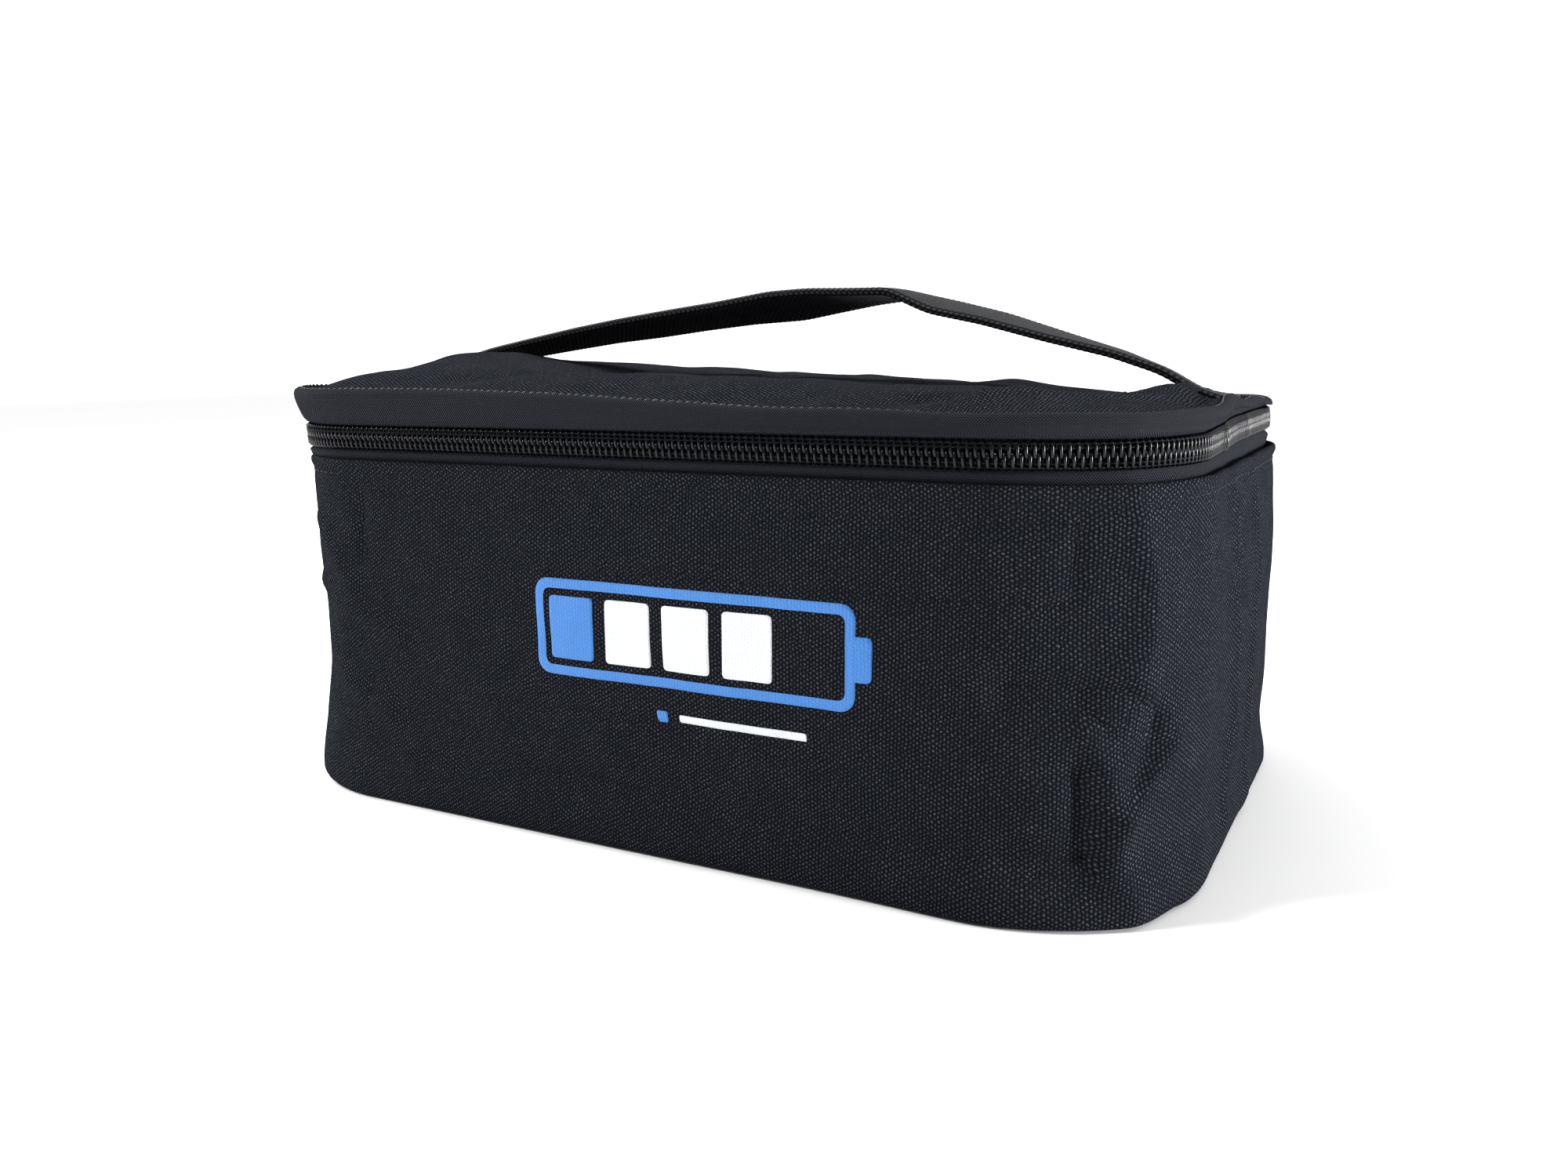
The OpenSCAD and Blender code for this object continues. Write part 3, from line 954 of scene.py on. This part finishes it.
def coil_cords(name, sign, body):
    """Two sewing cords that lie over one half of the coil and hold it to the tape."""
    s = np.arange(-COIL_END, COIL_END, COIL_PITCH / 5)
    face = HALF_L - node_box("lower_zip_coil")[1][0]
    beat = np.cos(2 * math.pi * (s + COIL_END) / COIL_PITCH)
    parts = []
    for rise, weave in ((1.3, -1), (2.05, 1)):
        z = HINGE_Z + sign * rise + 0.05 * beat
        d = face + 0.25 + 0.4 * (1 - beat * weave) * 0.5
        path = place(s, d, z, rim_relief)
        path[:, 2] += chain_rise(s)
        parts.append(tube_points(path, 0.14, np.array([0.0, 0.0, 1.0]), 6))
    verts = np.concatenate([p.reshape(-1, 3) for p in parts])
    faces = ring_faces(parts[0])
    faces = np.concatenate([faces, faces + len(verts) // 2]).tolist()
    settle(finish_mesh(name, verts, faces, None, CORD), body, "zip_coil")


def zip_tapes():
    """Lower tape, behind the hem, and upper tape, which bulges out to the lid's edge."""
    low, high = node_box("lower_zip_tape")
    depth = HALF_L - high[0]
    ends = (-REAR_START, REAR_START)

    def lower_relief(s, z):
        t = smooth(z, WALL_TOP - 4, WALL_TOP + 1)
        return wall_relief(s, z) * (1 - t) + rim_relief(s, z) * t

    back = depth + 0.5
    tuck_z = 75
    waist = WALL_TOP + 0.4
    lower = [
        (depth + 0.1, low[2]), (depth, tuck_z), (1.8, waist), (1.5, waist + 1.1), (depth - 0.35, 80.6),
        (depth, 81.4), (depth, high[2]), (back, high[2]), (back, 80), (back, tuck_z), (back, low[2]),
    ]
    lower_tape = swept(
        "lower_tape", lower, TAPE, lower_relief, ends,
        rise=lambda s, z: chain_rise(s) * smooth(z, WALL_TOP - 1, WALL_TOP + 3),
    )
    settle(lower_tape, "bag", "zip_tape", "lower_zip_tape")

    z0 = node_box("upper_zip_tape")[0][2]
    edge = LID_EDGE_Z
    bend_z = 86
    up_outside = [
        (depth, z0), (depth, 85.4), (1.6, bend_z), (1.0, 86.7), (0.6, 87.6), (0.25, 88.7), (-0.1, 89.9),
        (-0.35, 91), (-0.4, 92), (-0.15, edge + 0.3),
    ]
    over_edge = [
        (0.5, edge + 0.75), (1.25, edge + 0.75), (1.8, edge + 0.3), (2.1, edge - 0.4), (2.7, edge - 0.6),
        (2.2, edge - 1.2), (1.2, edge - 0.6), (0.5, edge - 0.6),
    ]
    down_inside = [
        (0.4, 91), (0.8, 89), (1.6, 87.4), (3.2, 86.8), (back + 0.05, bend_z), (back + 0.05, z0),
    ]

    def rise(s, z):
        t = smooth(z, bend_z, edge)
        return droop(s) * t + chain_rise(s) * (1 - t)

    profile = up_outside + over_edge + down_inside
    upper_tape = swept("upper_tape", profile, TAPE, rim_relief, ends, step=1.3, rise=rise)
    settle(upper_tape, "lid", "zip_tape", "upper_zip_tape")


# Lid

LID_INSET = 2.6

# Puckers that the handle's ends pull up, and softer folds between them, at (x, y)

LID_FOLDS = (
    (mound, (-76, -15), (22, 20), 3.6),
    (mound, (-98, -16), (9, 15), 1.6),
    (fold, [(-94, -10), (-72, -40), (-58, -56)], 6, 0.9),
    (fold, [(-92, 6), (-60, 26), (-20, 40)], 8, 0.8),
    (fold, [(-50, -60), (-40, -40), (-38, -16)], 5, -1.3),
    (fold, [(-20, -62), (10, -52), (44, -56)], 7, 0.6),
    (fold, [(-10, -66), (2, -56), (20, -50)], 4, -0.6),
    (mound, (95, -19), (7, 9), 2.6),
    (fold, [(99, -14), (92, -34), (70, -56)], 4, 1.4),
    (fold, [(95, -15), (80, -24), (60, -30)], 3.5, 0.9),
    (fold, [(92, -24), (78, -44), (58, -60)], 3.5, -1.3),
    (fold, [(93, 9), (70, 24), (40, 34)], 6, 0.8),
    (fold, [(-97, 0), (-105, 0)], 9, -1.0),
    (fold, [(96, 0), (105, 0)], 9, -0.8),
)


def lid_margin(x, y):
    """Distance in from the lid's sewn edge, 0 outside it."""
    half_l = HALF_L - LID_INSET
    half_w = HALF_W - LID_INSET
    corner = CORNER_R - LID_INSET
    dx = np.maximum(np.abs(x) - (half_l - corner), 0)
    dy = np.maximum(np.abs(y) - (half_w - corner), 0)
    inside = np.minimum(half_l - np.abs(x), half_w - np.abs(y))
    margin = np.where((dx > 0) & (dy > 0), corner - np.hypot(dx, dy), inside)
    return np.maximum(margin, 0)


def lid_height(x, y):
    """Height of the lid's cloth above its edge."""
    margin = lid_margin(x, y)
    puff = (5.2 - 1.4 * smooth(x, 10, 90)) * (1 - np.exp(-margin / 9))
    rough = 0.45 * ripples(x, y, 61, 10, 60, 20) + 0.10 * ripples(x, y, 62, 12, 15, 7)
    low = 2.0 * smooth(x, -80, -35) - 0.8 * smooth(x, 5, 40) + 0.9 * smooth(x, 50, 72)
    slump = -low * smooth(y, -55, -10)
    grip = 1 - np.exp(-margin / 5)
    free = puff + shaped(x, y, LID_FOLDS) + rough + slump
    return free * grip + 0.5 * (1 - grip) + lid_sag(x, y)


def lid_edge_shift(s):
    """How far the lid's edge stands out."""
    return rim_relief(s, np.full(len(s), LID_EDGE_Z))


def lid_cloth():
    """Outer cloth of the lid: one puckered sheet, sewn down all round."""
    depth = 1.9
    thick = 0.7
    count = 62
    x, y = stadium_rings(depth, count)
    share = edge_share(count)
    local = droop(RING_S) - lid_sag(*outline(RING_S, 0)[:2])
    z = LID_EDGE_Z - 0.2 + lid_height(x, y) + share * local[None, :]
    _, _, nx, ny = outline(RING_S, depth)
    shift = lid_edge_shift(RING_S)[None, :] * share
    top = np.stack([x + nx * shift, y + ny * shift, z], -1)
    piece = closed_sheet("lid_cloth", top - np.array([0, 0, thick]), top, CLOTH)
    settle(piece, "lid", "cloth_black", "lid_top_panel")


def lid_inside():
    """Padding and lining under the lid's cloth."""
    low = node_box("lid_padding")[0][2]

    def padding_top(x, y):
        return np.maximum(LID_EDGE_Z - 1.7 + lid_height(x, y), low + 0.4 + lid_sag(x, y))

    def padding_under(x, y):
        return low + lid_sag(x, y)

    pad = pad_piece("lid_pad", 5.2, padding_under, padding_top, FELT, 40, lid_edge_shift)
    settle(pad, "lid", "padding_grey", "lid_padding")

    def lining_z(offset):
        def height(x, y):
            quilt = 0.3 * np.minimum(ripples(x, y, 71, 9, 50, 16), 0.4)
            return low + offset + lid_sag(x, y) + quilt
        return height

    faces_z = (lining_z(-0.75), lining_z(-0.2))
    liner = pad_piece("lid_liner", 3.9, *faces_z, LINING, 40, lid_edge_shift)
    settle(liner, "lid", "glass_cloth", "lid_lining")


def lid_seam():
    """Thread seam just inside the lid's edge: slanted stitches that cross its groove."""
    line = [(s, LID_EDGE_Z + 0.55) for s in np.linspace(-HALF_LAP, HALF_LAP, 400)]
    starts, ends, lift = stitch_line(
        line, pitch=1.85, length=1.5, depth=1.55, relief=rim_relief, tilt=0.45,
        rise=lambda s, z: droop(s),
    )
    sunk = 0.3 * smooth(np.linspace(-HALF_LAP, HALF_LAP, len(starts)), 10, 80)
    starts[:, 2] -= sunk
    ends[:, 2] -= sunk
    lift = lift * 0.6 + np.array([0, 0, 0.8])
    piece = stitches("lid_seam", starts, ends, lift, 0.24, SEAM_THREAD)
    settle(piece, "lid", "binding_black", "lid_seam_binding")


def wall_stitches():
    """Topstitching of the hem and of the two loop tapes."""
    hem = [(s, HEM_SEAM_Z) for s in np.linspace(-REAR_START, REAR_START, 300)]
    made = []
    for line, pitch in [(hem, 2.8)] + [(line, 2.9) for line in STRIP_LINES]:
        fine = [tuple(p) for a, b in zip(line, line[1:]) for p in spread(a, b, 3)] + [line[-1]]
        made.append(stitch_line(fine, pitch, length=2.0, depth=0.0, relief=sewn_relief))
    starts, ends, lift = [np.concatenate(parts) for parts in zip(*made)]
    piece = stitches("wall_stitches", starts, ends, lift, 0.14, HEM_THREAD)
    settle(piece, "bag", "binding_black")


# Handle

STRAP_LINE = (
    # x, height, roll in degrees
    (-104, 95.2, 0), (-99, 97.0, 0), (-94, 99.3, -1), (-84, 101.3, -3), (-70, 103.4, -5),
    (-56, 105.4, -7), (-42, 107, -9.5), (-28, 108.6, -10), (-14, 110, -11), (0, 111.3, -15),
    (10, 112.3, -11), (20, 112.9, -5), (30, 113.3, -1.5), (40, 110, 5), (52, 107.2, 3.5),
    (66, 103, 1), (80, 99, -2.5), (90, 95.0, -6), (97, 90.9, -6), (104, 89.4, 0),
)


def strap_line(x):
    """Height of the handle's middle line, and the roll of the webbing about it, at x."""
    knots, heights, rolls = zip(*STRAP_LINE)
    return np.interp(x, knots, heights), np.interp(x, knots, rolls)


def eased(values, reach):
    """Values smoothed along their length by a running mean, carried on level past their ends."""
    kernel = np.hanning(2 * reach + 3)[1:-1]
    padded = np.concatenate([np.full(reach, values[0]), values, np.full(reach, values[-1])])
    return np.convolve(padded, kernel / kernel.sum(), mode="valid")


def strap_section(width, thick):
    """Closed section of the webbing: flat faces and rounded beaded edges, as (across, up)."""
    half = width / 2
    r = thick / 2
    top = [(a, r) for a in np.linspace(-half + r, half - r, 13)]
    right = [(half - r + r * math.cos(a), r * math.sin(a)) for a in np.radians([60, 25, 0, -25, -60])]
    bottom = [(a, -r) for a in np.linspace(half - r, -half + r, 13)]
    left = [(-half + r - r * math.cos(a), r * math.sin(a)) for a in np.radians([-60, -25, 0, 25, 60])]
    return np.array(top + right + bottom + left)


def handle_strap():
    """Webbing of the handle in two halves. Each is fixed to the lid and rises to the top."""
    low, high = node_box("handle_strap")
    width = high[1] - low[1]
    section = strap_section(width, thick=1.6)
    reach = 103.4
    x_all = np.arange(-reach, reach, RIB / 5)
    z_all, roll_all = strap_line(x_all)
    z_all = eased(z_all, 12)
    roll_all = np.radians(eased(roll_all, 14))
    slope = np.gradient(z_all, x_all)
    size = np.hypot(1, slope)
    tangent = np.stack([1 / size, 0 * size, slope / size], -1)
    up = np.stack([-slope / size, 0 * size, 1 / size], -1)
    side = np.cos(roll_all)[:, None] * np.array([0, 1.0, 0]) + np.sin(roll_all)[:, None] * up
    face = np.cross(tangent, side)
    run = running(np.stack([x_all, z_all], -1))
    rib_lift = 0.13 * np.abs(np.sin(math.pi * run / RIB))
    across = section[:, 0][None, :, None]
    lift = section[:, 1][None, :] * (1 + rib_lift[:, None])
    sag = 0.35 * np.cos(section[:, 0] / width * math.pi)[None, :]
    centre = np.stack([x_all, 0 * x_all, z_all], -1)
    points = centre[:, None] + across * side[:, None] + (lift + sag)[..., None] * face[:, None]
    v = lengths(section)
    middle = len(x_all) // 2
    halves = (("left", slice(0, middle + 1), -1), ("right", slice(middle, None), 1))
    for name, part, way in halves:
        piece = grid_piece(
            f"strap_{name}", points[part], run[part], v, WEBBING, wrap_v=True, caps=True
        )
        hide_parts("handle_strap", "handle_anchors")
        way * 100 * MM
        way * 88 * MM
        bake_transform(piece)


def end_bindings():
    """Rolled cloth that covers the outer end of each sewn strap."""
    low, high = node_box("handle_end_bindings")
    sides = (("left", -1, 1.9, 95.6, 0.0), ("right", 1, 7.1, 91.9, 2.0))
    for name, way, inset, level, slant in sides:
        x0 = way * (high[0] - inset)
        y = np.linspace(low[1] - 1.0, high[1] + 1.0, 40)
        t = np.linspace(0, 1, 40)
        close = np.clip(np.minimum(t, 1 - t) * 14, 0.05, 1) ** 0.5
        angles = np.linspace(0, 2 * math.pi, 20, endpoint=False)
        lumps = 1 + 0.08 * ripples(y, y * 0, 81 + way, 5, 12, 5)
        wide = 2.5 * close * lumps
        tall = 1.6 * close * lumps
        z0 = level - slant * t + 0.3 * np.cos(t * math.pi * 2)
        px = x0 + wide[:, None] * np.cos(angles)[None, :]
        pz = z0[:, None] + tall[:, None] * np.sin(angles)[None, :]
        points = np.stack([px, np.broadcast_to(y[:, None], px.shape), pz], -1)
        v = np.linspace(0, 14, 21)
        piece = grid_piece(f"end_binding_{name}", points, y, v, TAPE, wrap_v=True, caps=True)
        settle(piece, "lid", "cloth_black", "handle_end_bindings")


# Printed sign

def rounded_outline(half_l, half_h, radius, count=72):
    """Closed outline of a rounded rectangle about (0, 0)."""
    points = []
    for k, (sx, sy) in enumerate([(1, 1), (-1, 1), (-1, -1), (1, -1)]):
        for a in np.linspace(0, math.pi / 2, 9):
            turn = a + k * math.pi / 2
            x = sx * (half_l - radius) + radius * math.cos(turn)
            y = sy * (half_h - radius) + radius * math.sin(turn)
            points.append((x, y))
    ring = np.array(points + points[:1])
    run = running(ring)
    at = np.linspace(0, run[-1], count, endpoint=False)
    return np.stack([np.interp(at, run, ring[:, 0]), np.interp(at, run, ring[:, 1])], -1)


def ink_patch(verts, faces, uvs, centre, outer, inner, rings, filled=True):
    """Adds one printed shape on the front, from its outer outline in to its inner one.

    Its edge goes under the cloth's face, and the rest lies just above it.
    """
    t = np.concatenate([[0], np.linspace(0, 1, rings)])
    flat = outer[None] * (1 - t[:, None, None]) + inner[None] * t[:, None, None]
    x = flat[..., 0] + centre[0]
    z = flat[..., 1] + centre[1]
    lift = np.full(x.shape, 0.13)
    lift[0] = -0.08
    spot = place(x, -lift, z, sewn_relief)
    base = len(verts)
    part = ring_faces(spot)
    verts += spot.reshape(-1, 3).tolist()
    faces += (part + base).tolist()
    flat_uv = np.stack([x, z], -1).reshape(-1, 2)
    uvs += flat_uv[part.reshape(-1)].tolist()
    if filled:
        last = np.arange((len(t) - 1) * x.shape[1], len(t) * x.shape[1])
        faces.append((last + base).tolist())
        uvs += flat_uv[last].tolist()


def battery_sign():
    """Battery with charge bars, and a short rule with a square below it."""
    low, high = node_box("print_blue")
    terminal_l = 4.4
    tucked = 1.2
    stroke = 2.0
    sign_h = 20.0
    gap = 3
    point = 0.02
    right = high[0] - terminal_l + tucked
    half_l = (right - low[0]) / 2
    middle_x = (low[0] + right) / 2
    middle_z = high[2] - sign_h / 2
    cell = (2 * half_l - 2 * stroke) / 5
    rule_z = middle_z - sign_h / 2 - 2 * gap
    blue = ([], [], [])
    white = ([], [], [])
    frame_out = rounded_outline(half_l, sign_h / 2, 3, 240)
    frame_in = rounded_outline(half_l - stroke, sign_h / 2 - stroke, 1.5, 240)
    ink_patch(*blue, (middle_x, middle_z), frame_out, frame_in, 4, filled=False)
    cap = rounded_outline(terminal_l / 2, sign_h * 0.21, 1, 60)
    ink_patch(*blue, (high[0] - terminal_l / 2, middle_z), cap, cap * point, 5)
    bar = rounded_outline((cell - gap) / 2, (sign_h - 2 * stroke - gap) / 2, 0.8, 90)
    core = bar * np.array([point, 0.55])
    for k, inks in enumerate((blue, white, white, white)):
        ink_patch(*inks, (middle_x + (k - 2) * cell, middle_z), bar, core, 9)
    dot = rounded_outline(1.2, 1.2, 0.2, 32)
    ink_patch(*blue, (middle_x - 6, rule_z), dot, dot * point, 4)
    rule = rounded_outline(14, 0.8, 0.2, 120)
    ink_patch(*white, (middle_x + 12, rule_z), rule, rule * np.array([0.96, point]), 3)
    settle(finish_mesh("sign_blue", *blue, BLUE), "bag", "print_blue", "print_blue")
    settle(finish_mesh("sign_white", *white, WHITE), "bag", "print_white", "print_white")


# CAD pieces that keep their shape

def kept_nodes():
    """Metal pieces of the zip keep their CAD mesh, with softened edges and enamel."""
    radii = {"slider_body": 0.35, "pull_tab": 0.4, "lower_zip_stops": 0.3, "upper_zip_stops": 0.3}
    for name, radius in radii.items():
        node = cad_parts[name]
        node.data.materials.clear()
        node.data.materials.append(ENAMEL)
        soften = node.modifiers.new("soften", "BEVEL")
        soften.width = radius * MM
        soften.segments = 3
        soften.limit_method = "ANGLE"


# Stage

def studio():
    """Pale floor, a surround that looks white but lights mostly from behind, and soft lights."""
    mesh = bpy.data.meshes.new("floor")
    reach = 3.0
    corners = [(-reach, -reach, 0), (reach, -reach, 0), (reach, reach, 0), (-reach, reach, 0)]
    mesh.from_pydata(corners, [], [(0, 1, 2, 3)])
    material, tree = new_material("floor_paper", sockets={"Roughness": 0.85})
    shade = noise(tree, object_space(tree), 3.0, 2)
    paper = shade.ramp((0.3, (0.975, 0.975, 0.975)), (0.7, (0.985, 0.985, 0.985)))
    tree.links.new(paper, shader_inputs(tree)["Base Color"])
    mesh.materials.append(material)
    floor = bpy.data.objects.new("floor", mesh)
    bpy.context.scene.collection.objects.link(floor)
    world = bpy.data.worlds.new("studio_white")
    world.use_nodes = True
    tree = world.node_tree
    tree.nodes["Background"].inputs["Color"].default_value = (1, 1, 1, 1)
    _, y = split(tree, tree.nodes.new("ShaderNodeTexCoord").outputs["Generated"])
    room = y.times_plus(0.5, 0.5).ramp(
        (0.0, (0.22, 0.22, 0.22)), (0.3, (0.38, 0.38, 0.38)), (0.55, (1.4, 1.4, 1.4)),
    )
    seen = Value(tree, tree.nodes.new("ShaderNodeLightPath").outputs["Is Camera Ray"])
    strength = Value(tree, room).calc("MAXIMUM", seen * 1.03)
    tree.links.new(strength.socket, tree.nodes["Background"].inputs["Strength"])
    bpy.context.scene.world = world
    add_light("fill", (0.95, 0.04, 0.11), (0.08, -0.02, 0.04), 0.2, 15)
    add_light("key", (-0.85, 0.05, 0.90), (0, 0, 0), 0.3, 19)
    add_light("sparkle", (-0.42, -0.50, 0.65), (0, 0, 0.05), 0.14, 6)


def add_light(name, place_at, target, size, watts):
    """Square area light aimed at a target."""
    data = bpy.data.lights.new(name, "AREA")
    data.shape = "SQUARE"
    data.size = size
    data.energy = watts
    light = bpy.data.objects.new(name, data)
    light.location = place_at
    aim = Vector(target) - Vector(place_at)
    light.rotation_euler = aim.to_track_quat("-Z", "Y").to_euler()
    bpy.context.scene.collection.objects.link(light)


def add_camera():
    """Camera a little above the lid, off the front's right-hand end and turned towards the bag."""
    yaw = math.radians(28.2)
    pitch = math.radians(10.6)
    roll = math.radians(-0.7)
    flat = math.cos(pitch)
    ahead = Vector((-math.sin(yaw) * flat, math.cos(yaw) * flat, -math.sin(pitch)))
    level = Vector((math.cos(yaw), math.sin(yaw), 0))
    upright = level.cross(ahead)
    right = math.cos(roll) * level + math.sin(roll) * upright
    above = -math.sin(roll) * level + math.cos(roll) * upright
    data = bpy.data.cameras.new("camera")
    data.sensor_width = 36
    data.lens = 28.76
    data.clip_start = 0.01
    camera = bpy.data.objects.new("camera", data)
    axes = Matrix((right, above, -ahead)).transposed().to_4x4()
    camera.matrix_world = Matrix.Translation((0.1442, -0.2723, 0.1002)) @ axes
    bpy.context.scene.collection.objects.link(camera)
    bpy.context.scene.camera = camera


add_camera()
bpy.context.scene.view_settings.view_transform = "Standard"
studio()
outer_shell()
back_cloth()
inner_wall()
loop_tapes()
base_layers()
coil_half("lower_coil", -1, "bag", "lower_zip_coil")
coil_half("upper_coil", 1, "lid", "upper_zip_coil")
coil_cords("lower_coil_cords", -1, "bag")
coil_cords("upper_coil_cords", 1, "lid")
zip_tapes()
lid_cloth()
lid_inside()
lid_seam()
wall_stitches()
handle_strap()
end_bindings()
battery_sign()
kept_nodes()
